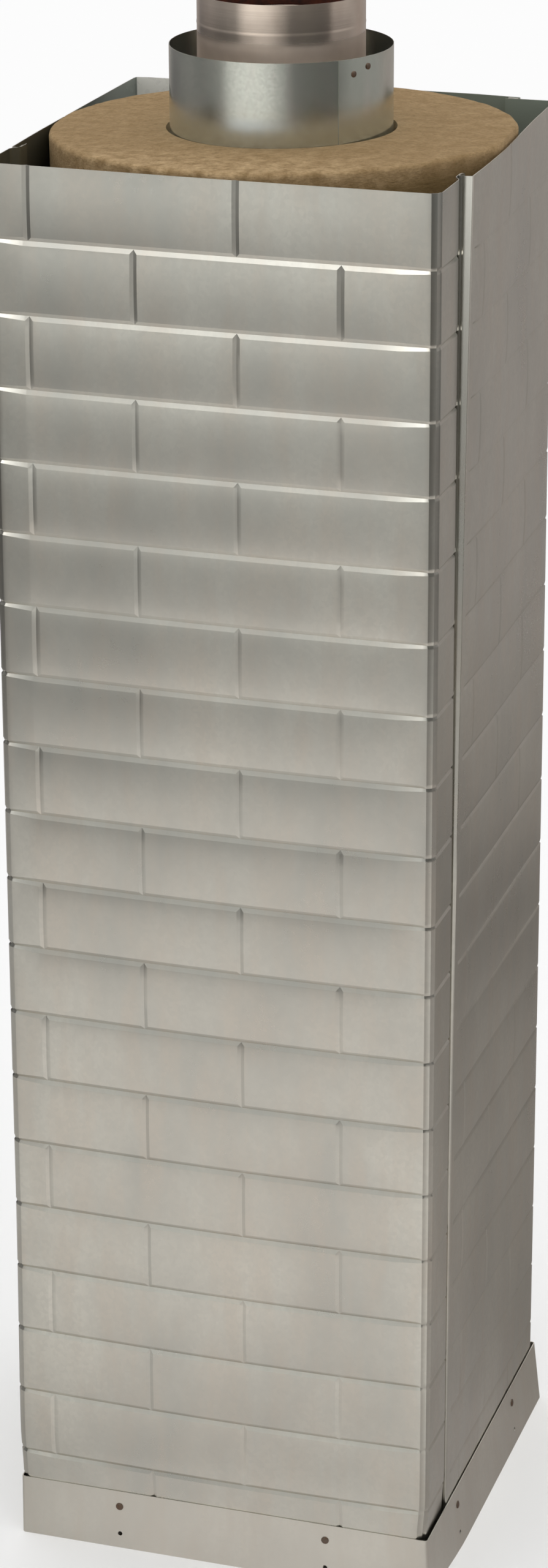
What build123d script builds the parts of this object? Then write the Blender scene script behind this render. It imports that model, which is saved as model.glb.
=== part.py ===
from build123d import *
import math
import os

os.makedirs("parts", exist_ok=True)

# Square casing of thin sheet pressed with a brick pattern, round a tube of mineral wool with a
# double-walled flue in it. Millimetres. The front faces -Y, and Z = 0 is the floor under the base frame.

# Casing: outer faces of the four panels
casing_width = 490
casing_depth = 490
casing_height = 1630
sheet = 0.7
bend_radius = 9

# Brick relief: mortar joints pressed inwards as V grooves, the upright ones a touch shallower
brick_length = 225
course_height = 80
joint_width = 6
joint_depth = 2
upright_depth = 1.9
front_first_joint = 49
side_first_joint = 25

# Seams: a return lies inboard of its neighbour, which ends over it in a round hem
return_recess = 5.5
seam_gap = 0.3
hem_radius = 3.2
hem_leg = 12
front_seam = 85
back_seam = 45
seam_lap = 15
plain_edge = 14

# Base frame: an angle section with its ledge turned in under the casing
frame_height = 75
frame_sheet = 1.2
frame_gap = 0.3
ledge_width = 25
frame_corner = 4

# Screw holes through the base frame and the panels, two on each side
screw_spacing = 250
screw_height = 19
screw_hole_radius = 2.75

# Mineral wool tube
wool_clearance = 0.3
wool_stand_up = 6

# Outer sleeve of the flue
sleeve_radius = 120
sleeve_sheet = 0.6
sleeve_stand_up = 95
lap_angle = -37
lap_width = 50
lap_line = 0.8

# Flue liner, with a shallow stop bead under its rim for the pipe that is pushed over it
liner_radius = 90
liner_sheet = 0.7
liner_stand_up = 150
bead_drop = 31
bead_width = 5
bead_height = 0.8

# Spring spacers: a band bent to a rounded triangle, its sides on the liner and its corners on the sleeve
spacer_sheet = 0.8
spacer_height = 25
spacer_clearance = 0.3
lower_spacer_height = 300
upper_spacer_drop = 325


def ridge_depth(depth):
    """How far the inner side of a V joint reaches under the outer face, one sheet behind its groove."""
    return depth + sheet / math.cos(math.atan(2 * depth / joint_width))


def ridge_span(depth):
    """Width of the same V where its slopes, drawn on, meet the outer face."""
    return joint_width * ridge_depth(depth) / depth


# Values that follow from those above
half_width = casing_width / 2
half_depth = casing_depth / 2
seat = frame_sheet
hem_thickness = return_recess - seam_gap
hem_bend = min(hem_radius, hem_thickness / 2 - 0.1)
relief = ridge_depth(joint_depth)
frame_outset = frame_gap + frame_sheet
wool_inset = relief + wool_clearance
course_count = math.ceil((casing_height - seat) / course_height)
joint_heights = [casing_height - course_height * n for n in range(1, course_count)]
lap_turn = math.degrees(lap_width / sleeve_radius)

front_face = Plane(origin=(0, -half_depth, 0), x_dir=(1, 0, 0), z_dir=(0, -1, 0))
right_face = Plane(origin=(half_width, 0, 0), x_dir=(0, 1, 0), z_dir=(1, 0, 0))
back_face = Plane(origin=(0, half_depth, 0), x_dir=(-1, 0, 0), z_dir=(0, 1, 0))
left_face = Plane(origin=(-half_width, 0, 0), x_dir=(0, -1, 0), z_dir=(-1, 0, 0))


def course_bar(outline, width, depth):
    """One V bar along the plan outline: its back lies on the outline and its edge points inwards."""
    along = outline % 0
    with BuildPart() as bar:
        with BuildSketch(Plane(origin=outline @ 0, x_dir=(-along.Y, along.X, 0), z_dir=along)):
            with BuildLine():
                Polyline((0, -width / 2), (depth, 0), (0, width / 2), close=True)
            make_face()
        sweep(path=outline, transition=Transition.RIGHT)
    return bar.part


def upright_bar(face, width, depth):
    """One upright V bar, as tall as a course, with its back on the face and its edge inwards."""
    with BuildPart() as bar:
        with BuildSketch(Plane(origin=face.origin, x_dir=face.x_dir, z_dir=(0, 0, 1))):
            with BuildLine():
                Polyline((-width / 2, 0), (width / 2, 0), (0, depth), close=True)
            make_face()
        extrude(amount=course_height / 2, both=True)
    return bar.part


def upright_places(face, first, left, right):
    """Places of the upright joints between two distances along a face, first in the odd courses."""
    edge = half_width if face.x_dir.X else half_depth
    places = []
    for course in range(1, course_count + 1):
        shift = first if course % 2 else first + brick_length / 2
        for n in range(-1, math.ceil(2 * edge / brick_length) + 1):
            across = shift + brick_length * n - edge
            if left + joint_width < across < right - joint_width:
                middle = casing_height - course_height * (course - 0.5)
                places.append(Pos(face.x_dir * across) * Pos(0, 0, middle))
    return places


def bend(corner, first_angle):
    """Plan points of a quarter bend, drawn in two flats, round the inside of a corner."""
    middle = math.radians(first_angle + 45)
    centre = Vector(corner) - Vector(math.cos(middle), math.sin(middle)) * bend_radius * math.sqrt(2)
    return [centre + Vector(bend_radius, 0).rotate(Axis.Z, first_angle + 45 * n) for n in range(3)]


def embossed_panel(outline, pressed, face, first_joint, left, right):
    """A folded sheet that follows outline in plan, with its brick joints and base holes."""
    uprights = upright_places(face, first_joint, left, right)
    levels = [Pos(0, 0, height) for height in joint_heights]
    with BuildPart() as panel:
        with BuildSketch():
            with BuildLine():
                add(outline)
                offset(amount=sheet, side=Side.LEFT)
            make_face()
        extrude(amount=casing_height)
        with Locations(*levels):
            add(course_bar(pressed, ridge_span(joint_depth), relief))
        with Locations(*uprights):
            add(upright_bar(face, ridge_span(upright_depth), ridge_depth(upright_depth)))
        with Locations(*levels):
            add(course_bar(pressed, joint_width, joint_depth), mode=Mode.SUBTRACT)
        with Locations(*uprights):
            add(upright_bar(face, joint_width, upright_depth), mode=Mode.SUBTRACT)
        split(bisect_by=Plane.XY.offset(seat), keep=Keep.TOP)
        with BuildSketch(Plane(origin=(0, 0, 0), x_dir=face.x_dir, z_dir=face.z_dir)):
            with Locations((-screw_spacing / 2, screw_height), (screw_spacing / 2, screw_height)):
                Circle(screw_hole_radius)
        extrude(amount=casing_width + casing_depth, both=True, mode=Mode.SUBTRACT)
    return panel.part


# Front panel: its two returns turn back along the sides, inboard of the side panels
front_corner = half_width - return_recess
front_return = -half_depth + front_seam + seam_lap
front_flat = front_corner - bend_radius
front_outline = Polyline(
    (-front_corner, front_return),
    *bend((-front_corner, -half_depth), 180),
    *bend((front_corner, -half_depth), 270),
    (front_corner, front_return),
)
with BuildPart() as front_panel:
    add(embossed_panel(front_outline, front_outline, front_face, front_first_joint, -front_flat, front_flat))

# Side panels: hemmed over the front returns, and turned in behind the back panel's edges
side_hem = -half_depth + front_seam
side_corner = half_depth - return_recess
with BuildLine() as side_outline:
    FilletPolyline(
        (half_width - hem_thickness, side_hem + hem_leg),
        (half_width - hem_thickness, side_hem),
        (half_width, side_hem),
        (half_width, side_hem + plain_edge),
        radius=hem_bend,
    )
    side_pressed = Polyline(
        (half_width, side_hem + plain_edge),
        *bend((half_width, side_corner), 0),
        (half_width - back_seam - seam_lap, side_corner),
    )
with BuildPart() as right_panel:
    add(
        embossed_panel(
            side_outline.line,
            side_pressed,
            right_face,
            side_first_joint,
            side_hem + plain_edge,
            side_corner - bend_radius,
        )
    )
with BuildPart() as left_panel:
    mirror(right_panel.part, about=Plane.YZ)

# Back panel: flat, and hemmed over the side panels' returns
back_edge = half_width - back_seam
with BuildLine() as back_outline:
    FilletPolyline(
        (back_edge - hem_leg, half_depth - hem_thickness),
        (back_edge, half_depth - hem_thickness),
        (back_edge, half_depth),
        (back_edge - plain_edge, half_depth),
        radius=hem_bend,
    )
    back_pressed = Line((back_edge - plain_edge, half_depth), (plain_edge - back_edge, half_depth))
    FilletPolyline(
        (plain_edge - back_edge, half_depth),
        (-back_edge, half_depth),
        (-back_edge, half_depth - hem_thickness),
        (hem_leg - back_edge, half_depth - hem_thickness),
        radius=hem_bend,
    )
with BuildPart() as back_panel:
    add(
        embossed_panel(
            back_outline.line,
            back_pressed,
            back_face,
            front_first_joint,
            plain_edge - back_edge,
            back_edge - plain_edge,
        )
    )

# Base frame, punched with two screw holes on each side
with BuildPart() as base_frame:
    with BuildSketch():
        RectangleRounded(casing_width + 2 * frame_outset, casing_depth + 2 * frame_outset, frame_corner)
        Rectangle(
            casing_width - 2 * ledge_width,
            casing_depth - 2 * ledge_width,
            mode=Mode.SUBTRACT,
        )
    extrude(amount=frame_sheet)
    with BuildSketch(Plane.XY.offset(frame_sheet)):
        RectangleRounded(casing_width + 2 * frame_outset, casing_depth + 2 * frame_outset, frame_corner)
        RectangleRounded(
            casing_width + 2 * frame_gap,
            casing_depth + 2 * frame_gap,
            frame_corner - frame_sheet,
            mode=Mode.SUBTRACT,
        )
    extrude(amount=frame_height - frame_sheet)
    for cross_plane in (Plane.XZ, Plane.YZ):
        with BuildSketch(cross_plane):
            with Locations((-screw_spacing / 2, screw_height), (screw_spacing / 2, screw_height)):
                Circle(screw_hole_radius)
        extrude(amount=casing_width + casing_depth, both=True, mode=Mode.SUBTRACT)

# Mineral wool tube, standing on the ledge
with BuildPart() as insulation:
    with BuildSketch(Plane.XY.offset(seat)):
        Ellipse(half_width - wool_inset, half_depth - wool_inset)
        Circle(sleeve_radius + wool_clearance, mode=Mode.SUBTRACT)
    extrude(amount=casing_height + wool_stand_up - seat)

# Outer sleeve: rolled sheet with an upright lap, whose edge shows outside as a fine line
sleeve_height = casing_height + sleeve_stand_up
sleeve_bore = sleeve_radius - sleeve_sheet
with BuildPart() as outer_sleeve:
    with BuildSketch():
        Circle(sleeve_radius)
        Circle(sleeve_bore, mode=Mode.SUBTRACT)
        with BuildLine():
            CenterArc((0, 0), sleeve_bore - 0.2 * sleeve_sheet, lap_angle - lap_turn / 8, lap_turn * 9 / 8)
        trace(line_width=1.6 * sleeve_sheet)
        with PolarLocations(sleeve_radius, 1, lap_angle):
            Rectangle(2 * sleeve_sheet, lap_line, mode=Mode.SUBTRACT)
    extrude(amount=sleeve_height)

# Flue liner, turned from the section of its wall
liner_height = casing_height + liner_stand_up
bead_middle = liner_height - bead_drop
with BuildPart() as flue_liner:
    with BuildSketch(Plane.XZ):
        with BuildLine():
            Polyline(
                (liner_radius, 0),
                (liner_radius, bead_middle - bead_width / 2),
                (liner_radius + bead_height, bead_middle),
                (liner_radius, bead_middle + bead_width / 2),
                (liner_radius, liner_height),
            )
            offset(amount=liner_sheet, side=Side.LEFT, kind=Kind.INTERSECTION)
        make_face()
    revolve(axis=Axis.Z)

# Spring spacers: rounding the corners of the triangle sets how far they reach
spacer_side = liner_radius + spacer_clearance + spacer_sheet
spacer_reach = sleeve_bore - spacer_clearance
with BuildPart() as spacer:
    with BuildSketch():
        RegularPolygon(spacer_side, side_count=3, major_radius=False)
        fillet(vertices(), radius=2 * spacer_side - spacer_reach)
        offset(amount=-spacer_sheet, mode=Mode.SUBTRACT)
    extrude(amount=spacer_height)

with BuildPart() as lower_spacer:
    with Locations((0, 0, lower_spacer_height)):
        add(spacer.part)

with BuildPart() as upper_spacer:
    with Locations((0, 0, sleeve_height - upper_spacer_drop)):
        add(spacer.part)

pieces = {
    "front_panel": front_panel,
    "right_panel": right_panel,
    "back_panel": back_panel,
    "left_panel": left_panel,
    "base_frame": base_frame,
    "insulation": insulation,
    "outer_sleeve": outer_sleeve,
    "flue_liner": flue_liner,
    "lower_spacer": lower_spacer,
    "upper_spacer": upper_spacer,
}
for name, piece in pieces.items():
    piece.part.label = name
    export_step(piece.part, f"parts/{name}.step")
    print(name, len(piece.part.solids()), round(piece.part.volume))
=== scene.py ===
import math

import bmesh
import bpy
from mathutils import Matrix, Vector, noise


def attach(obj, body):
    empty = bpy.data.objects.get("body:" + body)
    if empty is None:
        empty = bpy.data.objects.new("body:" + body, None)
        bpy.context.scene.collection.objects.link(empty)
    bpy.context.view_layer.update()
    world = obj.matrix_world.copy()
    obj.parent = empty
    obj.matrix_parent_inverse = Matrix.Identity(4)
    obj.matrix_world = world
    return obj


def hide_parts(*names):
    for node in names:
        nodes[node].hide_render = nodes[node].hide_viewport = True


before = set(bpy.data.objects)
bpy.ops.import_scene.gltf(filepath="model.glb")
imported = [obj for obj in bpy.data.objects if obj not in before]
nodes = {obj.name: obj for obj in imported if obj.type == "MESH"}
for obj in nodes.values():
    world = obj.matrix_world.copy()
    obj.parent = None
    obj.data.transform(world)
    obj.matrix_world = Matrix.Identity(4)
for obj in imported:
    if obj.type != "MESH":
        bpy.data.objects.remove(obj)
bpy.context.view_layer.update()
print("frame loaded:", ", ".join(sorted(nodes)))


# Small helpers for selecting and shaping

def pickOnly(thing):
    # nothing but this object stays selected, because the loaded nodes all start selected
    bpy.ops.object.select_all(action="DESELECT")
    thing.select_set(True)
    bpy.context.view_layer.objects.active = thing


def settle(thing):
    # place, turn and size go into the mesh
    pickOnly(thing)
    bpy.ops.object.transform_apply(location=True, rotation=True, scale=True)


copying = {"mergeWithin": 0.00001, "flatWithin": 0.5}   # metres, degrees


def copyNode(nodeName, name):
    # a copy with its own mesh, its loose triangles merged
    source = nodes[nodeName]
    piece = source.copy()
    piece.data = source.data.copy()
    piece.parent = None
    for key in list(piece.keys()):
        del piece[key]
    piece.name = piece.data.name = name
    bpy.context.scene.collection.objects.link(piece)
    pickOnly(piece)
    bpy.ops.mesh.customdata_custom_splitnormals_clear()
    bpy.ops.object.mode_set(mode="EDIT")
    bpy.ops.mesh.select_all(action="SELECT")
    bpy.ops.mesh.remove_doubles(threshold=copying["mergeWithin"])
    bpy.ops.mesh.dissolve_limited(angle_limit=math.radians(copying["flatWithin"]))
    bpy.ops.object.mode_set(mode="OBJECT")
    return piece


def sliceMesh(piece, axis, places):
    # cuts right through the mesh, square to an axis, so that it can bend there
    pickOnly(piece)
    bpy.ops.object.mode_set(mode="EDIT")
    for place in places:
        point, normal = [0, 0, 0], [0, 0, 0]
        point[axis], normal[axis] = place, 1
        bpy.ops.mesh.select_all(action="SELECT")
        bpy.ops.mesh.bisect(plane_co=point, plane_no=normal)
    bpy.ops.object.mode_set(mode="OBJECT")


def smoothShade(piece, degrees):
    pickOnly(piece)
    bpy.ops.object.shade_smooth_by_angle(angle=math.radians(degrees))


def steps(first, last, count):
    return [first + (last - first) * n / count for n in range(count + 1)]


def smoothStep(low, high, value):
    t = min(max((value - low) / (high - low), 0), 1)
    return t * t * (3 - 2 * t)


def alongCurve(stops, place):
    # straight-line reading between listed places
    if place <= stops[0][0]:
        return stops[0][1]
    for (a, u), (b, v) in zip(stops, stops[1:]):
        if place <= b:
            return u + (v - u) * (place - a) / (b - a)
    return stops[-1][1]


# Shader maths: a socket that adds its own nodes

class Sock:
    def __init__(self, graph, socket):
        self.graph, self.socket = graph, socket

    def math(self, operation, other, swap=False):
        first, second = (other, self) if swap else (self, other)
        return self.graph.node("ShaderNodeMath", {"operation": operation}, {0: first, 1: second})

    def __add__(self, other): return self.math("ADD", other)
    def __radd__(self, other): return self.math("ADD", other, True)
    def __sub__(self, other): return self.math("SUBTRACT", other)
    def __rsub__(self, other): return self.math("SUBTRACT", other, True)
    def __mul__(self, other): return self.math("MULTIPLY", other)
    def __rmul__(self, other): return self.math("MULTIPLY", other, True)
    def __truediv__(self, other): return self.math("DIVIDE", other)
    def __pow__(self, other): return self.math("POWER", other)
    def __gt__(self, other): return self.math("GREATER_THAN", other)
    def __lt__(self, other): return self.math("LESS_THAN", other)


def setStops(ramp, stops):
    # each stop has a place and a colour, or a plain level
    while len(ramp.elements) < len(stops):
        ramp.elements.new(0.5)
    for element, (place, colour) in zip(ramp.elements, stops):
        element.position = place
        element.color = (colour, colour, colour, 1) if isinstance(colour, (int, float)) else (*colour, 1)


class Graph:
    def __init__(self, tree):
        self.tree = tree
        tree.nodes.clear()

    def node(self, kind, settings=None, values=None, output=0):
        made = self.tree.nodes.new(kind)
        for key, value in (settings or {}).items():
            if key == "stops":
                setStops(made.color_ramp, value)
            else:
                setattr(made, key, value)
        for key, value in (values or {}).items():
            if isinstance(value, Sock):
                self.tree.links.new(value.socket, made.inputs[key])
            else:
                made.inputs[key].default_value = value
        return Sock(self, made.outputs[output]) if made.outputs else made

    def noise(self, vector, scale, detail=3, roughness=0.5):
        return self.node("ShaderNodeTexNoise", {}, {
            "Vector": vector, "Scale": scale, "Detail": detail, "Roughness": roughness})

    def cells(self, vector, scale, output=0):
        return self.node("ShaderNodeTexVoronoi", {}, {"Vector": vector, "Scale": scale}, output)

    def place(self, scale=(1, 1, 1)):
        # Object coordinates, stretched
        point = self.node("ShaderNodeTexCoord", output=3)
        return self.node("ShaderNodeMapping", {}, {0: point, "Scale": scale})

    def split(self, vector, axis):
        return self.node("ShaderNodeSeparateXYZ", {}, {0: vector}, axis)

    def parts(self, vector):
        return [self.split(vector, axis) for axis in range(3)]

    def ramp(self, value, stops):
        return self.node("ShaderNodeValToRGB", {"stops": stops}, {0: value})

    def remap(self, value, low, high, toLow=0.0, toHigh=1.0, smooth=False):
        kind = "SMOOTHSTEP" if smooth else "LINEAR"
        return self.node("ShaderNodeMapRange", {"interpolation_type": kind},
                         {0: value, 1: low, 2: high, 3: toLow, 4: toHigh})

    def mix(self, factor, first, second, blend="MIX"):
        return self.node("ShaderNodeMix", {"data_type": "RGBA", "blend_type": blend},
                         {0: factor, 6: first, 7: second}, 2)

    def bump(self, height, strength, distance):
        return self.node("ShaderNodeBump", {}, {"Strength": strength, "Distance": distance, "Height": height})

    def surface(self, **inputs):
        named = {key.replace("_", " "): value for key, value in inputs.items()}
        shader = self.node("ShaderNodeBsdfPrincipled", {}, named)
        self.node("ShaderNodeOutputMaterial", {}, {0: shader})

    def glow(self, colour):
        emission = self.node("ShaderNodeEmission", {}, {"Color": colour, "Strength": 1.0})
        self.node("ShaderNodeOutputMaterial", {}, {0: emission})


def newMaterial(name):
    material = bpy.data.materials.new(name)
    material.use_nodes = True
    return material, Graph(material.node_tree)


def tone(r, g, b):
    # a colour as seen in a picture, 0 to 255, made linear
    def linear(c):
        c = c / 255
        return c / 12.92 if c <= 0.04045 else ((c + 0.055) / 1.055) ** 2.4
    return (linear(r), linear(g), linear(b), 1)


def dress(piece, material):
    if piece.data.materials:
        for n in range(len(piece.data.materials)):
            piece.data.materials[n] = material
    else:
        piece.data.materials.append(material)


# Galvanised sheet: soft clouds, upright runs, spangle and a fine grain
sheetTexture = {
    "clouds": {"stretch": 0.6, "scale": 7, "detail": 4, "roughness": 0.6},
    "runs": {"stretch": 0.22, "scale": 38, "detail": 3, "roughness": 0.55},
    "grain": {"stretch": 0.5, "scale": 420, "detail": 3, "roughness": 0.6},
    "cloudRange": (0.35, 0.68),
    "runRange": (0.42, 0.66),
    "grainRange": (0.42, 0.7),
    "runShare": 0.45,     # how strongly each one colours the sheet
    "flakeShare": 0.3,
    "grainShare": 0.12,
    "flakeRough": 0.02,   # how much each one varies the gloss
    "cloudRough": 0.06,
    "grainRough": 0.01,
    "grainRelief": 0.08,
    "runRelief": 0.5,
    "cloudRelief": 1.5,
    "bump": 0.09,
    "bumpDistance": 0.001,
}


def sheetNoise(g, kind):
    plan = sheetTexture[kind]
    return g.noise(g.place(scale=(1, 1, plan["stretch"])), plan["scale"], plan["detail"], plan["roughness"])


def paintFoldHighlight(g, place, finish, colour, roughness):
    # the hems' folded edge gets a painted highlight, most of all near the top, and a little more gloss
    x, y, z = place
    beyond, front, back = finish["foldPlace"]
    foldHighlight = (x * x > beyond ** 2) * (y > front) * (y < back) * g.remap(z, *finish["foldRise"]) ** 2
    return g.mix(foldHighlight, colour, finish["fold"]), roughness - foldHighlight * finish["foldShine"]


def paintInsideShade(g, place, finish, colour):
    # painted shade, with a painted reflection tint, on the inner faces that show over the wool, and a painted
    # highlight on the left panel's return, told from the outer ones by the way they face
    x, y = place[:2]
    facing = g.node("ShaderNodeTexCoord", output=1)
    beyond = finish["insideFrom"]
    backInside = (g.split(facing, 1) < -0.5) * (y > beyond)
    leftInside = (g.split(facing, 0) > 0.5) * (x < -beyond)
    returnInside = backInside * (x < -beyond)
    colour = g.mix(backInside, colour, finish["insideBackShade"])
    colour = g.mix(leftInside, colour, finish["insideLeftShade"])
    colour = g.mix(returnInside, colour, finish["insideReturnHighlight"])
    return colour, 1 - backInside * finish["backDull"] - returnInside * finish["returnDull"]


def galvanisedSheet(name, finish):
    material, g = newMaterial(name)
    texture = sheetTexture
    flat = g.place()
    flake = g.split(g.cells(flat, finish["spangle"], output=1), 0)
    clouds, runs, grain = (sheetNoise(g, kind) for kind in ("clouds", "runs", "grain"))
    colour = g.mix(g.remap(clouds, *texture["cloudRange"]), finish["dull"], finish["pale"])
    colour = g.mix(g.remap(runs, *texture["runRange"]) * texture["runShare"], colour, finish["warm"])
    colour = g.mix(g.remap(flake, 0, 1, 0, texture["flakeShare"]), colour, finish["dull"])
    colour = g.mix(g.remap(grain, *texture["grainRange"]) * texture["grainShare"], colour, finish["dull"])
    # painted reflection tone low on the sleeve, where it reflects the wool
    if "paintedSheenTint" in finish:
        low = g.remap(g.split(flat, 2), *finish["paintedSheenRise"], 1, 0, smooth=True)
        colour = g.mix(low, colour, finish["paintedSheenTint"])
    roughness = finish["roughness"] + (flake - 0.5) * texture["flakeRough"]
    roughness = roughness + (clouds - 0.5) * texture["cloudRough"] + (grain - 0.5) * texture["grainRough"]
    metallic = 1.0
    if "fold" in finish:
        place = g.parts(flat)
        # painted highlight on the hems' folded edge
        colour, roughness = paintFoldHighlight(g, place, finish, colour, roughness)
        # painted shade on the inner faces, and a painted highlight on the left panel's return
        colour, metallic = paintInsideShade(g, place, finish, colour)
    relief = grain * texture["grainRelief"] + runs * texture["runRelief"] + clouds * texture["cloudRelief"]
    g.surface(Base_Color=colour, Metallic=metallic, Roughness=roughness,
              Normal=g.bump(relief, texture["bump"], texture["bumpDistance"]))
    return material


casingFinish = {
    "pale": tone(214, 212, 203),
    "dull": tone(192, 191, 184),
    "warm": tone(205, 196, 184),
    "roughness": 0.29,
    "spangle": 210,
    # painted highlight for the hems' folded edge, where it shows and from what height
    "fold": tone(250, 248, 240),
    "foldPlace": (0.2455, -0.1615, -0.1562),   # beyond this x, between these y
    "foldRise": (1.1, 1.63),
    "foldShine": 0.14,
    "insideFrom": 0.2,
    # painted shade tones for the inner faces, and a painted highlight for the left panel's return
    "insideBackShade": tone(150, 162, 152),
    "insideLeftShade": tone(150, 158, 156),
    "insideReturnHighlight": tone(240, 240, 232),       # painted highlight on the left panel's return onto the back
    "backDull": 0.6,
    "returnDull": 0.35,
}
casingSheet = galvanisedSheet("casingSheet", casingFinish)

baseFinish = {
    "pale": tone(222, 219, 210),
    "dull": tone(211, 208, 200),
    "warm": tone(211, 204, 193),
    "roughness": 0.42,
    "spangle": 210,
}
baseSheet = galvanisedSheet("baseSheet", baseFinish)

sleeveFinish = {
    "pale": tone(227, 227, 218),
    "dull": tone(196, 200, 191),
    "warm": tone(215, 208, 201),
    "roughness": 0.21,
    "spangle": 330,
    "paintedSheenTint": tone(207, 220, 228),   # a pale cool tint low down, a painted reflection tone over the wool's warm reflection, fading out between these heights
    "paintedSheenRise": (1.652, 1.672),
}
sleeveSheet = galvanisedSheet("sleeveSheet", sleeveFinish)

linerFinish = {
    "metal": tone(226, 211, 198),
    "band": tone(208, 192, 178),
    "inside": tone(96, 44, 22),
    "insideDark": tone(48, 24, 16),
    "innerRadius": 0.0897,
    "footEdge": 0.01,      # the rust starts above this height
    "dullRise": (1.733, 1.743),   # duller below, where it stands in the sleeve
    "roughness": 0.13,
    "rollStretch": (0.15, 0.15, 30),   # level lines of the rolling
    "rollScale": 12,
    "rollRough": 0.08,
    "rollRelief": 0.4,
    "cloudScale": 14,
    "cloudRange": (0.35, 0.7),
    "rustScale": 60,
    "rustRange": (0.35, 0.65),
    "rustDull": 0.8,
    "rustRough": 0.45,
    "sunkRough": 0.35,
    "bump": 0.08,
    "bumpDistance": 0.001,
}


def rolledLiner():
    material, g = newMaterial("linerSheet")
    finish = linerFinish
    point = g.place()
    x, y, z = g.parts(point)
    radius = (x * x + y * y) ** 0.5
    inside = (radius < finish["innerRadius"]) * (z > finish["footEdge"])
    rolled = g.noise(g.place(scale=finish["rollStretch"]), finish["rollScale"], 3, 0.6)
    clouds = g.noise(point, finish["cloudScale"], 3, 0.6)
    rust = g.noise(point, finish["rustScale"], 5, 0.65)
    outer = g.mix(g.remap(clouds, *finish["cloudRange"]), finish["metal"], finish["band"])
    inner = g.mix(g.remap(rust, *finish["rustRange"]), finish["inside"], finish["insideDark"])
    sunk = g.remap(z, *finish["dullRise"], 1, 0, smooth=True)
    roughness = finish["roughness"] + rolled * finish["rollRough"] + inside * finish["rustRough"]
    roughness = roughness + sunk * (1 - inside) * finish["sunkRough"]
    g.surface(
        Base_Color=g.mix(inside, outer, inner),
        Metallic=1 - inside * finish["rustDull"],
        Roughness=roughness,
        Normal=g.bump(rolled * finish["rollRelief"] + rust * inside, finish["bump"], finish["bumpDistance"]),
    )
    return material


linerSheet = rolledLiner()

woolFinish = {
    "pale": tone(190, 163, 124),
    "deep": tone(140, 115, 80),
    # the fibres' dark colour, also used for the painted shade below the top edge
    "rim": tone(104, 84, 50),
    "fleck": tone(92, 78, 54),
    "patchScale": 60,
    "patchRange": (0.34, 0.68),
    "patchRelief": 0.8,
    "fibreStretch": (1, 1, 4),
    "fibreScale": 190,
    "fibreRange": (0.45, 0.75),
    "fibreShare": 0.55,
    "fibreRelief": 0.7,
    "fleckScale": 240,
    "fleckRange": (0.02, 0.16),
    "fleckShare": 0.55,
    "fleckRelief": 0.4,
    "layerStretch": (1, 1, 14),
    "layerScale": 12,
    "layerRange": (0.3, 0.7),
    "layerShare": 0.5,
    "backShadeRange": (-0.22, -0.12),   # painted light and shade: paler towards the front, darker towards the back, between these y
    "backShadeShare": 0.65,
    "rimShadeRise": (1.61, 1.633),       # painted shade, darker below the top edge
    "rimShadeAcross": (0.08, 0.22),      # and more so towards the right
    "rimShadeLeft": 0.05,
    "roughness": 0.95,
    "specular": 0.15,
    "bump": 0.55,
    "bumpDistance": 0.003,
}


def mineralWool():
    material, g = newMaterial("mineralWool")
    finish = woolFinish
    point = g.place()
    x, y, z = g.parts(point)
    patches = g.noise(point, finish["patchScale"], 4, 0.65)
    fibres = g.noise(g.place(scale=finish["fibreStretch"]), finish["fibreScale"], 4, 0.7)
    specks = g.cells(point, finish["fleckScale"])
    layers = g.noise(g.place(scale=finish["layerStretch"]), finish["layerScale"], 3, 0.6)
    colour = g.mix(g.remap(patches, *finish["patchRange"]), finish["deep"], finish["pale"])
    # painted light and shade: the wool's front paler and its back darker
    colour = g.mix(g.remap(y, *finish["backShadeRange"], 0, finish["backShadeShare"], smooth=True), colour, finish["deep"])
    colour = g.mix(g.remap(fibres, *finish["fibreRange"]) * finish["fibreShare"], colour, finish["rim"])
    colour = g.mix(g.remap(specks, *finish["fleckRange"], finish["fleckShare"], 0), colour, finish["fleck"])
    # painted shade below the top edge, most towards the right, broken up by the layers
    low = g.remap(z, *finish["rimShadeRise"], 1, 0, smooth=True)
    low = low * g.remap(x, *finish["rimShadeAcross"], finish["rimShadeLeft"], 1, smooth=True)
    layered = g.remap(layers, *finish["layerRange"], finish["layerShare"], 1)
    colour = g.mix(low * layered, colour, finish["rim"])
    relief = fibres * finish["fibreRelief"] + patches * finish["patchRelief"] + specks * finish["fleckRelief"]
    g.surface(Base_Color=colour, Roughness=finish["roughness"], Specular_IOR_Level=finish["specular"],
              Normal=g.bump(relief, finish["bump"], finish["bumpDistance"]))
    return material


woolMaterial = mineralWool()

rivetFinish = {
    "head": tone(110, 98, 88),
    "rust": tone(92, 66, 46),
    "stainScale": 300,
    "stainRange": (0.4, 0.65),
    "stainRough": 0.2,
    "roughness": 0.45,
    "metalRange": (0.4, 0.7),
    "metal": (0.9, 0.3),   # clean, and stained
    "bump": 0.2,
    "bumpDistance": 0.0004,
}


def rivetMetal():
    material, g = newMaterial("rivetMetal")
    finish = rivetFinish
    stain = g.noise(g.place(), finish["stainScale"], 3, 0.6)
    g.surface(
        Base_Color=g.mix(g.remap(stain, *finish["stainRange"]), finish["head"], finish["rust"]),
        Metallic=g.remap(stain, *finish["metalRange"], *finish["metal"]),
        Roughness=finish["roughness"] + stain * finish["stainRough"],
        Normal=g.bump(stain, finish["bump"], finish["bumpDistance"]),
    )
    return material


rivetMaterial = rivetMetal()

for nodeName, material in {
    "front_panel": casingSheet,
    "right_panel": casingSheet,
    "back_panel": casingSheet,
    "left_panel": casingSheet,
    "base_frame": baseSheet,
    "outer_sleeve": sleeveSheet,
    "flue_liner": linerSheet,
    "lower_spacer": linerSheet,
    "upper_spacer": linerSheet,
}.items():
    dress(nodes[nodeName], material)
print("materials made, and put on the loaded nodes")


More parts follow.
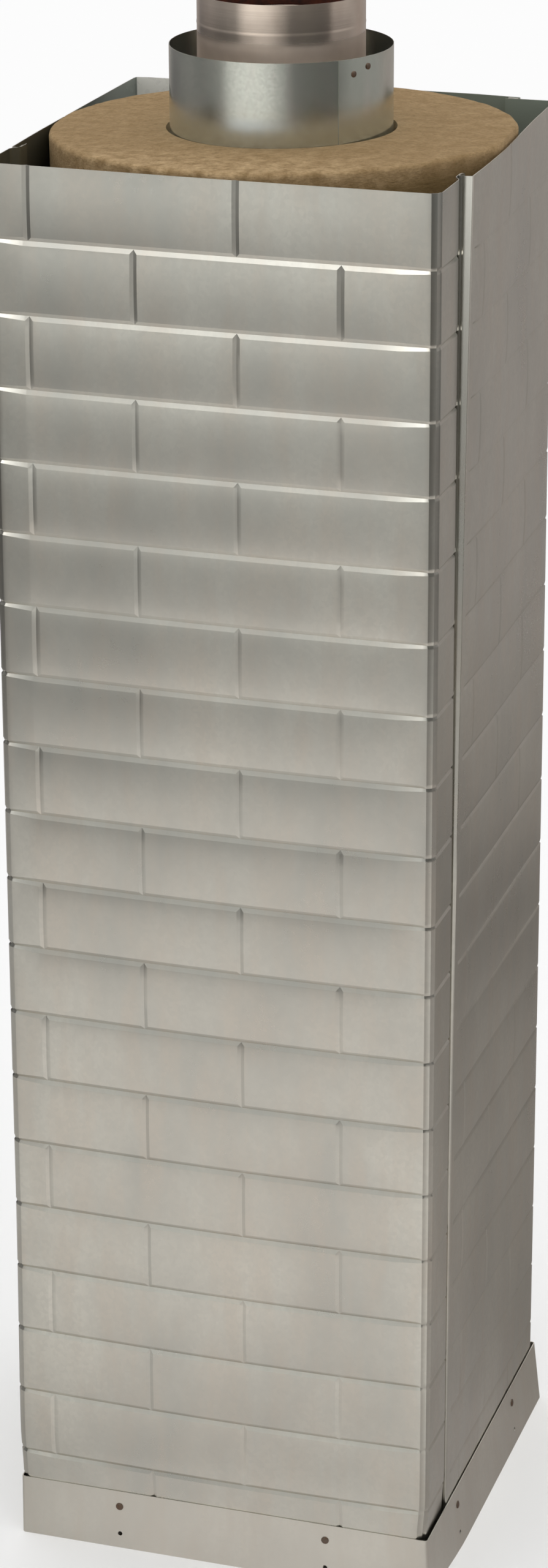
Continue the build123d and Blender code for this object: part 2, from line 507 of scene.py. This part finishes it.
# Casing: the four pressed panels, copied so that the sheet can bow, lean and bulge as thin sheet does
casing = {
    "top": 1.63,
    "course": 0.08,
    "courses": 21,
    "courseSteps": 5,
    "lowestCut": 0.005,
    "half": 0.245,
    "side": 0.2395,             # outer face of the front panel's returns
    "depth": 0.002,             # of the joints as made
    "pressed": (0.2415, 0.2441),   # the bottoms of the joints lie between these
    "face": (0.2375, 0.2415),   # what moves with the face starts and is full here
    "shoulder": 0.0046,         # cuts this far from the middle of a joint keep its rounding narrow
    "shoulderMove": 0.0009,
    "jointHalf": 0.003,         # as made
    "upperSlope": 0.0042,       # as spread, over the middle of a joint
    "lowerSlope": 0.005,        # as spread, under it
    "uprightSlope": 0.004,
    "uprightHalf": 0.0015,
    "crossing": 0.0035,         # upright joints end this far from a level one
    "spreadReach": 0.0185,
    "plainTop": 0.02,
    "bow": 0.0013,              # how far each course stands out between its joints
    "bowFade": 0.04,
    "seat": 0.075,              # top of the base frame
    "seatFade": 0.05,
    "edgeFade": 0.02,
    "bulgeFrom": 0.35,
    "bulgePower": 1.6,
    "acrossCuts": (-0.225, 0.225, 18),
    "sharp": 14,
}

# the front panel's bends and corners
bend = {
    "made": 0.009,      # radius as made
    "wanted": 0.0125,
    "sideCuts": (0.0007, 0.0015, 0.0039, 0.0054, 0.0071, 0.0107),   # in from the returns' faces
    "frontCuts": (0.0039, 0.0054, 0.0071, 0.0107, 0.071, 0.074, 0.0775, 0.081, 0.084),   # back from the front face
    "seatCuts": (-0.006, -0.002, 0.002),
    "runOut": 0.75,     # how much of a level joint's depth is lost round the bend
    "runOutFrom": (0, 0.35),
    "runOutTo": (1.2, 1.57),
    "cornerAcross": (0.13, 0.238),
    "cornerAlong": (0.161, 0.174),
    "cornerRise": (-0.006, 0.001),
    "footRange": (0.1, 0.45),
    "footFade": 0.065,
}

# the hems of the side panels, over the front panel's returns
hem = {
    "from": -0.1574,
    "middle": (0.2424, -0.1575),
    "innerRadius": 0.00225,
    "innerBack": 0.0007,
    "seam": -0.16,
    "fold": [(0.2424, 1), (0.2429, 0), (0.2444, 1)],   # how far the drawn edge stands back
    "foldBack": 0.0012,
    "foldCut": 0.2429,
    "drawn": 4,         # times the bulge
    "legFade": 0.004,
    "legFrom": 0.24,
    "layerFrom": 0.2422,
    "layerDeep": 0.0022,
}


def courseCuts():
    cuts = []
    for n in range(casing["courses"]):
        joint = casing["top"] - casing["course"] * n
        low, high = joint - casing["course"] + casing["shoulder"], joint - casing["shoulder"]
        cuts += steps(low, high, casing["courseSteps"])
    return [cut for cut in cuts if cut > casing["lowestCut"]]


def overSeat(z, fade):
    # nothing inside the base frame, full this far over it
    return smoothStep(casing["seat"], casing["seat"] + fade, z)


def bowAt(z):
    # nothing at a joint and full in the middle of a course
    t = ((casing["top"] - z) / casing["course"]) % 1
    return casing["bow"] * 4 * t * (1 - t) * overSeat(z, casing["bowFade"])


def spreadSlope(offset, wide):
    # how far a place beside the middle of a joint moves as the slopes spread to this width
    reach = casing["spreadReach"]
    if abs(offset) >= reach:
        return 0
    moved = alongCurve([(0, 0), (casing["jointHalf"], wide), (casing["shoulder"], wide + casing["shoulderMove"]),
                        (reach, reach)], abs(offset))
    return math.copysign(moved - abs(offset), offset)


def aboveJoint(z):
    # height over the nearest level joint; the top edge has none
    if z > casing["top"] - casing["plainTop"]:
        return casing["course"] / 2
    return -(((casing["top"] - z) / casing["course"] + 0.5) % 1 - 0.5) * casing["course"]


def jointWider(z):
    # pressed joints are wide and soft, most of all on their lower slope, which faces up
    above = aboveJoint(z)
    return spreadSlope(above, casing["upperSlope"] if above > 0 else casing["lowerSlope"])


def bulgeAt(z):
    # the wool pushes the sheet out more and more towards the open top
    t = min(max((z - casing["bulgeFrom"]) / (casing["top"] - casing["bulgeFrom"]), 0), 1)
    return t ** casing["bulgePower"]


def roundCorner(x, y, dip):
    # the front corner's bend, drawn again along an arc of a larger radius at the same sheet depth
    made, wanted, edge = bend["made"], bend["wanted"], casing["side"]
    fromSide, fromFront = edge - abs(x), y + casing["half"]
    straight = wanted - made
    whole = 2 * straight + made * math.pi / 2
    if fromSide >= wanted or fromFront >= wanted:
        return x, y
    if fromSide >= made:
        run, deep = wanted - fromSide, fromFront
    elif fromFront >= made:
        run, deep = whole - (wanted - fromFront), fromSide
    else:
        turn = math.atan2(made - fromSide, made - fromFront)
        run = straight + made * turn
        deep = made - math.hypot(made - fromSide, made - fromFront)
    angle = run / whole * math.pi / 2
    # the level joints run out over the bend
    shallow = smoothStep(*bend["runOutFrom"], angle) * (1 - smoothStep(*bend["runOutTo"], angle))
    deep -= dip * bend["runOut"] * shallow
    newSide = wanted - (wanted - deep) * math.sin(angle)
    newFront = wanted - (wanted - deep) * math.cos(angle)
    return math.copysign(edge - newSide, x), newFront - casing["half"]


panels = {
    "front_panel": {
        "hold": (-0.2305, 0.2305),   # the face lies between these
        "across": (0, (-0.196, 0.029, -0.0835, 0.1415)),   # its axis, and where its upright joints are
        "spread": 1,
        "upright": [(0.5, 0.35), (1.0, 0.5), (1.4, 0.5), (1.52, 0.28), (1.63, 0.22)],   # depth lost, by height
        "lean": [(-0.24, 0.0055), (0.24, -0.0045)],   # the top edge stands a little askew
        "belly": 0.0055,       # the whole front stands out in the middle
        "bellyHalf": 0.235,
        "wideLeft": 0.0085,    # the corners stand out past the seams
        "wideRight": 0.0062,
        "footLeft": 0.0025,    # more of it towards the floor
    },
    "right_panel": {
        "hold": (-0.147, 0.2305),
        "across": (1, (-0.1075, 0.005, 0.1175, 0.22)),
        "spread": 0.4,
        "shallow": 0.6,        # share of the joints' depth that is lost
        "bulge": [(-0.09, 0.0102), (-0.015, 0.0088), (0.038, 0.0055), (0.135, 0.0), (0.23, -0.003)],
        "hemmed": True,
    },
    "back_panel": {
        "hold": (-0.187, 0.187),
        "across": (0, (-0.1415, 0.0835, -0.029, 0.196)),
        "spread": 1,
        "bulge": [(-0.2, 0.003), (-0.1, 0.0065), (0.05, 0.009), (0.15, 0.008), (0.2, 0.003)],
    },
    "left_panel": {
        "hold": (-0.147, 0.2305),
        "across": (1, (-0.1075, 0.005, 0.1175, 0.22)),
        "spread": 0.4,
        "shallow": 0.6,
        "bulge": [(-0.17, 0.003), (-0.08, 0.005), (0.08, 0.0056), (0.19, 0.0055), (0.24, 0.0052)],
        "hemmed": True,
    },
}


def cutPanel(piece, plan):
    axis, joints = plan["across"]
    edges = [joint + side * casing["shoulder"] for joint in joints for side in (-1, 1)]
    sliceMesh(piece, axis, edges + steps(*casing["acrossCuts"]))
    if "lean" in plan:
        # through the bends, so that they can be drawn round
        sliceMesh(piece, 0, [turn * (casing["side"] - cut) for turn in (-1, 1) for cut in bend["sideCuts"]])
        sliceMesh(piece, 1, [cut - casing["half"] for cut in bend["frontCuts"]])
        sliceMesh(piece, 2, [casing["seat"] + cut for cut in bend["seatCuts"]])
    if "hemmed" in plan:
        sliceMesh(piece, 0, (-hem["foldCut"], hem["foldCut"]))
    sliceMesh(piece, 2, courseCuts())


def flatShare(plan, along):
    # 1 on the face of a panel, fading out at its bends or seams
    low, high = plan["hold"]
    fade = casing["edgeFade"]
    return smoothStep(low, low + fade, along) * smoothStep(-high, fade - high, -along)


def movePressed(plan, along, out, z):
    # the joints spread and lose some depth, and each course bows out between them
    nearJoint = min((along - joint for joint in plan["across"][1]), key=abs)
    onFace = smoothStep(*casing["face"], abs(out))
    sideways = spreadSlope(nearJoint, casing["uprightSlope"]) * plan["spread"] * onFace
    outwards = bowAt(z) * flatShare(plan, along) * onFace
    if casing["pressed"][0] < abs(out) < casing["pressed"][1]:
        upright = abs(nearJoint) < casing["uprightHalf"] and abs(aboveJoint(z)) > casing["crossing"]
        if "upright" in plan and upright:
            outwards += alongCurve(plan["upright"], z) * casing["depth"]
        if "shallow" in plan and along > plan["hold"][0]:
            outwards += plan["shallow"] * casing["depth"]
    return sideways, outwards


def moveBulged(plan, along, out, rise):
    # the folded leg of a hem stays behind, so that the hem opens as the sheet stands out
    start = plan["hold"][0]
    past = smoothStep(start - hem["legFade"], start + hem["legFade"], along)
    layer = min(max((abs(out) - hem["layerFrom"]) / hem["layerDeep"], 0), 1)
    leg = past * (abs(out) > hem["legFrom"])
    return rise * alongCurve(plan["bulge"], along) * (layer + (1 - layer) * leg)


def drawHem(along, out, rise):
    # the rolled edge of the hem is drawn out flat, facing the front
    middleOut, middleAlong = hem["middle"]
    if along >= hem["from"] or abs(out) <= middleOut:
        return 0
    inner = math.hypot(abs(out) - middleOut, along - middleAlong) < hem["innerRadius"]
    back = hem["innerBack"] * inner + hem["foldBack"] * alongCurve(hem["fold"], abs(out))
    return (hem["seam"] + back - along) * min(rise * hem["drawn"], 1)


def moveFront(plan, x, y, z):
    # the front leans and bellies, its bends are drawn round and its corners stand out
    rise, clear = bulgeAt(z), overSeat(z, casing["seatFade"])
    dip = casing["depth"] * max(0, 1 - abs(aboveJoint(z)) / casing["jointHalf"]) if x > 0 else 0
    newX, newY = roundCorner(x, y, dip)
    belly = plan["belly"] * clear * (1 - 0.5 * rise) * flatShare(plan, x) * (1 - (x / plan["bellyHalf"]) ** 2)
    if x > 0:
        wide = plan["wideRight"] * (0.5 + 0.5 * clear)
    else:
        foot = (1 - smoothStep(*bend["footRange"], z)) * overSeat(z, bend["footFade"])
        wide = -plan["wideLeft"] - plan["footLeft"] * foot
    corner = smoothStep(*bend["cornerAcross"], abs(x)) * smoothStep(*bend["cornerAlong"], -y)
    corner *= smoothStep(*bend["cornerRise"], z - casing["seat"])
    return newX - x + wide * corner, newY - y + rise * alongCurve(plan["lean"], x) - belly


def buildPanel(nodeName, plan):
    piece = copyNode(nodeName, nodeName.split("_")[0] + "Panel")
    cutPanel(piece, plan)
    axis = plan["across"][0]
    for vertex in piece.data.vertices:
        x, y, z = vertex.co
        along, out = (x, y) if axis == 0 else (y, x)
        sideways, outwards = movePressed(plan, along, out, z)
        if "bulge" in plan:
            outwards += moveBulged(plan, along, out, bulgeAt(z))
        if "hemmed" in plan:
            sideways += drawHem(along, out, bulgeAt(z))
        outwards = math.copysign(1, out) * outwards
        move = [sideways, outwards] if axis == 0 else [outwards, sideways]
        if "lean" in plan:
            front = moveFront(plan, x, y, z)
            move = [move[0] + front[0], move[1] + front[1]]
        vertex.co.x += move[0]
        vertex.co.y += move[1]
        vertex.co.z += jointWider(z) * plan["spread"] * flatShare(plan, along) * overSeat(z, casing["seatFade"])
    smoothShade(piece, casing["sharp"])
    dress(piece, casingSheet)
    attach(piece, "root")
    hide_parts(nodeName)
    print(piece.name, len(piece.data.polygons), "faces")


for nodeName, plan in panels.items():
    buildPanel(nodeName, plan)


# Base frame: its right flange leans out towards the floor, and the left one a touch
skirt = {
    "height": 0.075,
    "flange": (0.215, 0.2435),
    "flareRight": 0.0085,
    "gapRight": 0.0008,
    "flareLeft": 0.0008,
    "frontHold": (-0.2455, -0.1),   # the front corner holds the right flange back
    "frontShare": 0.35,
    "cutsAlong": (-0.24, 0.24, 16),
    "cutsUp": (0.01, 0.07, 6),
    "sharp": 35,
}


def buildBaseFrame():
    piece = copyNode("base_frame", "baseFrame")
    sliceMesh(piece, 1, steps(*skirt["cutsAlong"]))
    sliceMesh(piece, 2, steps(*skirt["cutsUp"]))
    for vertex in piece.data.vertices:
        x, y, z = vertex.co
        down = 1 - z / skirt["height"]
        free = skirt["frontShare"] + (1 - skirt["frontShare"]) * smoothStep(*skirt["frontHold"], y)
        right, left = (smoothStep(*skirt["flange"], across) for across in (x, -x))
        vertex.co.x += right * (skirt["gapRight"] + skirt["flareRight"] * down) * free
        vertex.co.x -= left * skirt["flareLeft"] * down
    smoothShade(piece, skirt["sharp"])
    dress(piece, baseSheet)
    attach(piece, "root")
    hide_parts("base_frame")
    return piece


frameAround = buildBaseFrame()


# Flue liner: its stop bead is rolled soft, so only a faint line of it shows
liner = {
    "radius": 0.09,
    "beadRange": (1.74, 1.76),
    "beadFrom": 0.0002,   # what stands out further than this is bead
    "bead": 0.4,          # share of its height that is kept
    "sharp": 30,
}


def buildLiner():
    piece = copyNode("flue_liner", "flueLiner")
    low, high = liner["beadRange"]
    for vertex in piece.data.vertices:
        x, y, z = vertex.co
        radius = math.hypot(x, y)
        if low < z < high and radius > liner["radius"] + liner["beadFrom"]:
            soft = liner["radius"] + (radius - liner["radius"]) * liner["bead"]
            vertex.co.x, vertex.co.y = x * soft / radius, y * soft / radius
    smoothShade(piece, liner["sharp"])
    dress(piece, linerSheet)
    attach(piece, "root")
    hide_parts("flue_liner")


buildLiner()


# Outer sleeve: its lap turned a little further round to the front, and lifting slightly at the edge
sleeve = {
    "radius": 0.12,
    "sheet": 0.0008,
    "turn": -6,
    "lapEdge": -43,
    "lapLead": 0.6,   # the edge itself lies this far before
    "lapRun": 22,
    "lift": 0.0011,
    "sharp": 30,
}


def buildSleeve():
    piece = copyNode("outer_sleeve", "outerSleeve")
    turn = math.radians(sleeve["turn"])
    for vertex in piece.data.vertices:
        x, y = vertex.co.xy
        radius, angle = math.hypot(x, y), math.atan2(y, x) + turn
        past = math.degrees(angle) - sleeve["lapEdge"]
        if -sleeve["lapLead"] < past < sleeve["lapRun"] and radius > sleeve["radius"] - sleeve["sheet"]:
            radius += sleeve["lift"] * (1 - max(past, 0) / sleeve["lapRun"]) ** 2
        vertex.co.x, vertex.co.y = radius * math.cos(angle), radius * math.sin(angle)
    smoothShade(piece, sleeve["sharp"])
    dress(piece, sleeveSheet)
    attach(piece, "root")
    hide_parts("outer_sleeve")


buildSleeve()


# Rivets: domed heads, two on each side of the base frame and two in the sleeve's lap
rivets = {
    "sides": 24,
    "domeSteps": ((0.72, 0.34), (0.4, 0.14)),   # radius left, and rise, as shares
    "insetShare": 0.8,
    "sharp": 50,
    "frameHead": 0.0045,
    "frameRise": 0.0016,
    "frameHeight": 0.055,
    "frameSpacing": 0.125,
    "frameFace": 0.2465,
    "frameSink": 0.0002,
    "rayFrom": 0.05,
    "sleeveHead": 0.0034,
    "sleeveRise": 0.0013,
    "sleevePlaces": [(-33.5, 1.7088), (-23.3, 1.7143)],   # degrees round, and height
    "sleeveRadius": 0.1201,
}


def rivetHead(radius, rise, name):
    # a disc raised in two steps to a low dome
    bpy.ops.object.select_all(action="DESELECT")
    bpy.ops.mesh.primitive_cylinder_add(
        vertices=rivets["sides"], radius=radius, depth=rise / 2, location=(0, 0, rise / 4))
    head = bpy.context.active_object
    head.name = head.data.name = name
    settle(head)
    bpy.ops.object.mode_set(mode="EDIT")
    bpy.ops.mesh.select_mode(type="FACE")
    for left, lift in rivets["domeSteps"]:
        bpy.ops.mesh.select_all(action="DESELECT")
        bm = bmesh.from_edit_mesh(head.data)
        topFace = max(bm.faces, key=lambda face: (round(face.calc_center_median().z, 6), len(face.verts)))
        topFace.select = True
        bmesh.update_edit_mesh(head.data)
        bpy.ops.mesh.inset(thickness=radius * (1 - left) * rivets["insetShare"], depth=rise * lift)
    bpy.ops.object.mode_set(mode="OBJECT")
    smoothShade(head, rivets["sharp"])
    return head


def putRivets(name, places, radius, rise):
    # one head modelled, copied to each place and joined
    model = rivetHead(radius, rise, name)
    copies = []
    for point, facing in places:
        head = model.copy()
        head.data = model.data.copy()
        bpy.context.scene.collection.objects.link(head)
        head.location = point
        head.rotation_mode = "QUATERNION"
        head.rotation_quaternion = Vector(facing).to_track_quat("Z", "Y")
        copies.append(head)
    bpy.data.objects.remove(model)
    bpy.ops.object.select_all(action="DESELECT")
    for head in copies:
        head.select_set(True)
    bpy.context.view_layer.objects.active = copies[0]
    bpy.ops.object.join()
    joined = bpy.context.active_object
    joined.name = joined.data.name = name
    settle(joined)
    dress(joined, rivetMaterial)
    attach(joined, "root")


def onFrame(point, facing):
    # the head sits on the leaning flange, found by a ray from outside
    start = Vector(point) + Vector(facing) * rivets["rayFrom"]
    hit, place, normal, _ = frameAround.ray_cast(start, -Vector(facing))
    return (place - normal * rivets["frameSink"], normal) if hit else (Vector(point), Vector(facing))


framePlaces = []
for facing in ((0, -1, 0), (1, 0, 0), (0, 1, 0), (-1, 0, 0)):
    for side in (-1, 1):
        point = [facing[0] * rivets["frameFace"], facing[1] * rivets["frameFace"], rivets["frameHeight"]]
        point[0 if facing[0] == 0 else 1] = side * rivets["frameSpacing"]
        framePlaces.append(onFrame(point, facing))
putRivets("frameRivets", framePlaces, rivets["frameHead"], rivets["frameRise"])

sleevePlaces = []
for degrees, height in rivets["sleevePlaces"]:
    facing = Vector((math.cos(math.radians(degrees)), math.sin(math.radians(degrees)), 0))
    sleevePlaces.append((facing * rivets["sleeveRadius"] + Vector((0, 0, height)), facing))
putRivets("sleeveRivets", sleevePlaces, rivets["sleeveHead"], rivets["sleeveRise"])
print("base frame, liner, sleeve and rivets built")


# Mineral wool, sawn square at the top and pressed into the casing
wool = {
    "sides": 192,
    "radius": 0.2418,
    "bore": 0.1203,
    "low": 0.0012,
    "top": 1.6355,
    "rings": 7,
    "levels": (0.35, 0.7, 1.0, 1.25, 1.45, 1.55, 1.6, 1.62, 1.628),
    "right": 0.0125,      # how much wider it is pressed at the top
    "left": 0.0085,
    "skin": 0.0034,       # it stays this far inside the casing's outer face
    "rimRound": 0.005,
    "rimSteps": 4,
    "seed": 7,            # the lumps are the same in every run
    "rough": 0.0011,
    "lumps": ((34, 0.6), (110, 0.4)),   # their scale and share
    "roughRise": (1.5, 1.63),
    "roughFrom": 0.004,   # out from the bore
    "boreGap": 0.0048,    # the saw cut round the sleeve is a little wide at the sides
    "boreRise": (1.6, 1.632),
    "tilt": 0.0035,       # it stands higher on the right
    "tiltRise": (1.55, 1.62),
    "sharp": 60,
}


def innerWall(nodeName, curve, place, rise):
    return casing["half"] - wool["skin"] + rise * alongCurve(panels[nodeName][curve], place)


def pressInside(co):
    # the wool lies against the sheet and never comes through it
    rise = bulgeAt(co.z)
    right = innerWall("right_panel", "bulge", co.y, rise)
    left = innerWall("left_panel", "bulge", co.y, rise)
    back = innerWall("back_panel", "bulge", co.x, rise)
    front = innerWall("front_panel", "lean", co.x, -rise)
    co.x = min(max(co.x, -left), right)
    co.y = min(max(co.y, -front), back)


def narrowEnds(piece):
    # both ends are inset ring by ring to the bore, and what is left of them is bridged
    bpy.ops.object.mode_set(mode="EDIT")
    bpy.ops.mesh.select_mode(type="FACE")
    for n in range(wool["rings"]):
        bpy.ops.mesh.select_all(action="DESELECT")
        bm = bmesh.from_edit_mesh(piece.data)
        for face in bm.faces:
            face.select = len(face.verts) == wool["sides"]
        bmesh.update_edit_mesh(piece.data)
        bpy.ops.mesh.inset(thickness=(wool["radius"] - wool["bore"]) / wool["rings"], depth=0, use_individual=True)
    bpy.ops.mesh.bridge_edge_loops()
    bpy.ops.object.mode_set(mode="OBJECT")


def roundRim(piece):
    # the outer edge of the top, rounded
    pickOnly(piece)
    bpy.ops.object.mode_set(mode="EDIT")
    bpy.ops.mesh.select_mode(type="EDGE")
    bpy.ops.mesh.select_all(action="DESELECT")
    bm = bmesh.from_edit_mesh(piece.data)
    for edge in bm.edges:
        ends = [v.co for v in edge.verts]
        level = all(abs(co.z - wool["top"]) < 1e-5 for co in ends)
        rim = all(abs(math.hypot(co.x, co.y) - wool["radius"]) < 0.001 for co in ends)
        edge.select = level and rim
    bmesh.update_edit_mesh(piece.data)
    bpy.ops.mesh.bevel(offset=wool["rimRound"], segments=wool["rimSteps"])
    bpy.ops.object.mode_set(mode="OBJECT")


def buildWool():
    bpy.ops.object.select_all(action="DESELECT")
    bpy.ops.mesh.primitive_cylinder_add(
        vertices=wool["sides"], radius=wool["radius"], depth=wool["top"] - wool["low"], end_fill_type="NGON",
        location=(0, 0, (wool["top"] + wool["low"]) / 2))
    piece = bpy.context.active_object
    piece.name = piece.data.name = "mineralWool"
    settle(piece)
    narrowEnds(piece)
    sliceMesh(piece, 2, wool["levels"])
    roundRim(piece)
    noise.seed_set(wool["seed"])
    for vertex in piece.data.vertices:
        place = vertex.co.copy()
        x, y, z = place
        radius = math.hypot(x, y)
        press = bulgeAt(z) * smoothStep(wool["bore"], wool["radius"], radius)
        vertex.co.x += press * (wool["right"] if x > 0 else wool["left"]) * (x / wool["radius"])
        vertex.co.z += wool["tilt"] * x / wool["radius"] * smoothStep(*wool["tiltRise"], z)
        if radius > wool["bore"] + wool["roughFrom"]:
            lumps = sum((noise.noise_vector(place * scale) * share for scale, share in wool["lumps"]), Vector())
            vertex.co += lumps * wool["rough"] * smoothStep(*wool["roughRise"], z)
        else:
            across = x / wool["bore"]
            vertex.co.x += across * abs(across) ** 3 * wool["boreGap"] * smoothStep(*wool["boreRise"], z)
        pressInside(vertex.co)
    smoothShade(piece, wool["sharp"])
    dress(piece, woolMaterial)
    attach(piece, "root")
    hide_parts("insulation")
    print("wool:", len(piece.data.vertices), "vertices")


buildWool()


# Studio: pale floor, white surroundings, and soft grey walls and floor tones that only the metal sees.
# Directions are in degrees, 0 straight in front and to the right positive; heights in metres.
studio = {
    "floorSize": 60,
    "floor": (0.975, 0.975, 0.975, 1),
    "floorRough": 0.9,
    "wallRadius": 3.3,
    "wallTop": 3.75,
    "wallSides": 96,
    "sheenDrop": 0.0005,
    "overhead": 3.0,   # what the metal sees above the walls
    "behind": [(-150, 1.0), (-125, 0.0), (115, 0.0), (140, 1.0)],   # 1 in the quarter behind the casing
    "behindLevel": (0.95, 0.95, 0.95, 1),
}

# tones round the walls
wallTones = {
    "around": [
        (-180, (0.38, 0.35, 0.33)), (-148, (0.38, 0.35, 0.33)), (-125, (0.17, 0.165, 0.165)),
        (-92, (0.245, 0.24, 0.235)), (-70, (0.22, 0.22, 0.215)), (-46, (0.30, 0.30, 0.29)),
        (-32, (0.88, 0.88, 0.85)), (-20, (0.98, 0.98, 0.95)), (-8, (0.94, 0.94, 0.91)),
        (4, (0.79, 0.79, 0.765)), (18, (0.46, 0.46, 0.445)), (30, (0.19, 0.19, 0.185)),
        (50, (0.165, 0.165, 0.155)), (72, (0.135, 0.135, 0.13)), (84, (0.15, 0.145, 0.14)),
        (92, (0.39, 0.38, 0.37)), (130, (0.38, 0.37, 0.36)), (148, (0.39, 0.36, 0.34)),
        (180, (0.38, 0.35, 0.33)),
    ],
    "lowLeft": [(-60, 0.62), (-25, 0.66), (-19, 0.80), (-12, 0.97), (0, 1.0)],
    "lowTop": (0.87, 0.94),   # the darker left ends between these heights
    "rise": [
        (0.0, 0.43), (0.42, 0.45), (0.66, 0.61), (0.75, 0.68), (0.89, 0.93), (0.98, 0.62), (1.04, 0.80),
        (1.19, 1.6), (1.42, 0.68), (2.4, 0.50), (2.95, 0.60), (3.25, 0.88), (3.5, 1.4), (3.75, 2.2),
    ],
}

# tones of the painted floor reflection, by direction and by share of the walls' radius; the dark tones behind the
# casing and the dip close round it are painted shadow
floorTones = {
    "sheenAndShadow": [
        (-180, (0.30, 0.275, 0.255)), (-150, (0.34, 0.31, 0.29)), (-120, (0.50, 0.485, 0.47)),
        (-62, (0.50, 0.49, 0.475)), (-40, (0.74, 0.72, 0.69)), (-28, (0.83, 0.80, 0.77)),
        (-15, (0.91, 0.875, 0.84)), (-5, (0.865, 0.83, 0.80)), (5, (0.86, 0.83, 0.80)),
        (18, (0.94, 0.905, 0.87)), (32, (0.90, 0.87, 0.835)), (50, (0.56, 0.53, 0.505)),
        (70, (0.48, 0.45, 0.43)), (120, (0.42, 0.39, 0.37)), (145, (0.265, 0.245, 0.225)),
        (180, (0.285, 0.26, 0.24)),
    ],
    "fade": [
        (0.07, 0.76), (0.094, 0.77), (0.104, 0.83), (0.118, 0.84), (0.14, 0.74), (0.18, 0.80), (0.26, 0.93),
        (0.35, 1.0), (0.60, 1.0), (0.8, 0.98), (0.93, 0.74), (1.0, 0.50),
    ],
    "backFade": [(0.07, 0.85), (0.3, 1.1), (0.45, 1.05), (0.58, 0.75), (0.72, 1.1), (1.0, 1.25)],
}


def whiteRoom():
    world = bpy.data.worlds.new("whiteRoom")
    bpy.context.scene.world = world
    world.use_nodes = True
    g = Graph(world.node_tree)
    glossy = g.node("ShaderNodeLightPath", output=3)
    strength = 1.0 + glossy * (studio["overhead"] - 1.0)
    background = g.node("ShaderNodeBackground", {}, {"Color": (1, 1, 1, 1), "Strength": strength})
    g.node("ShaderNodeOutputWorld", {}, {0: background})


def paleFloor():
    bpy.ops.object.select_all(action="DESELECT")
    bpy.ops.mesh.primitive_plane_add(size=studio["floorSize"], location=(0, 0, 0))
    thing = bpy.context.active_object
    thing.name = "studioFloor"
    thing.visible_glossy = False
    material, g = newMaterial("paleFloor")
    g.surface(Base_Color=studio["floor"], Roughness=studio["floorRough"], Specular_IOR_Level=0.0)
    dress(thing, material)
    return thing


def onlyForMetal(thing):
    # seen in reflections, but neither by the camera nor as light on anything else
    thing.visible_camera = False
    thing.visible_diffuse = False
    thing.visible_shadow = False
    thing.visible_transmission = False


def roundTurn(stops):
    # directions in degrees, as shares of a turn
    return [((degrees + 180) / 360, colour) for degrees, colour in stops]


def compass(g, x, y):
    # direction from the middle as a share of a turn
    turn = g.node("ShaderNodeMath", {"operation": "ARCTAN2"}, {0: x, 1: y * -1.0})
    return g.remap(turn, -math.pi, math.pi)


def greyWalls():
    bpy.ops.object.select_all(action="DESELECT")
    bpy.ops.mesh.primitive_cylinder_add(
        vertices=studio["wallSides"], radius=studio["wallRadius"], depth=studio["wallTop"],
        end_fill_type="NOTHING", location=(0, 0, studio["wallTop"] / 2))
    thing = bpy.context.active_object
    thing.name = "studioWalls"
    settle(thing)
    onlyForMetal(thing)
    material, g = newMaterial("greyWalls")
    x, y, z = g.parts(g.place())
    turn = compass(g, x, y)
    around = g.ramp(turn, roundTurn(wallTones["around"]))
    lowLeft = g.mix(1.0, around, g.ramp(turn, roundTurn(wallTones["lowLeft"])), "MULTIPLY")
    around = g.mix(g.remap(z, *wallTones["lowTop"], 1, 0), around, lowLeft)
    height = g.remap(z, 0, studio["wallTop"])
    rise = g.ramp(height, [(spot / studio["wallTop"], level) for spot, level in wallTones["rise"]])
    rise = g.mix(g.ramp(turn, roundTurn(studio["behind"])), rise, studio["behindLevel"])
    g.glow(g.mix(1.0, around, rise, "MULTIPLY"))
    dress(thing, material)
    return thing


# a glowing disc under the floor that only the metal sees: a painted floor reflection with the casing's painted
# shadow in it
def floorSheen():
    bpy.ops.object.select_all(action="DESELECT")
    bpy.ops.mesh.primitive_circle_add(
        vertices=studio["wallSides"], radius=studio["wallRadius"], fill_type="NGON",
        location=(0, 0, -studio["sheenDrop"]))
    thing = bpy.context.active_object
    thing.name = "floorSheen"
    settle(thing)
    onlyForMetal(thing)
    material, g = newMaterial("floorSheen")
    x, y, z = g.parts(g.place())
    turn = compass(g, x, y)
    sheenAndShadow = g.ramp(turn, roundTurn(floorTones["sheenAndShadow"]))
    distance = (x * x + y * y) ** 0.5 / studio["wallRadius"]
    fade, backFade = (g.ramp(distance, floorTones[kind]) for kind in ("fade", "backFade"))
    fade = g.mix(g.ramp(turn, roundTurn(studio["behind"])), fade, backFade)
    g.glow(g.mix(1.0, sheenAndShadow, fade, "MULTIPLY"))
    dress(thing, material)
    return thing


whiteRoom()
floor = paleFloor()
walls = greyWalls()
sheen = floorSheen()

camera = {
    "place": (1.3145, -4.1420, 2.5335),
    "turn": 17.753,
    "down": 20.831,
    "roll": -0.232,
    "lens": 93.777,
    "sensor": 36,
    "far": 200,
}
eyeData = bpy.data.cameras.new("photoCamera")
eyeData.lens = camera["lens"]
eyeData.sensor_width = camera["sensor"]
eyeData.clip_end = camera["far"]
eye = bpy.data.objects.new("photoCamera", eyeData)
bpy.context.scene.collection.objects.link(eye)
eye.location = camera["place"]
eye.rotation_mode = "XYZ"
eye.rotation_euler = (math.radians(90 - camera["down"]), 0, math.radians(camera["turn"]))
eye.rotation_euler.rotate_axis("Z", math.radians(camera["roll"]))
bpy.context.scene.camera = eye
bpy.context.scene.view_settings.view_transform = "Standard"
print("studio and camera ready")
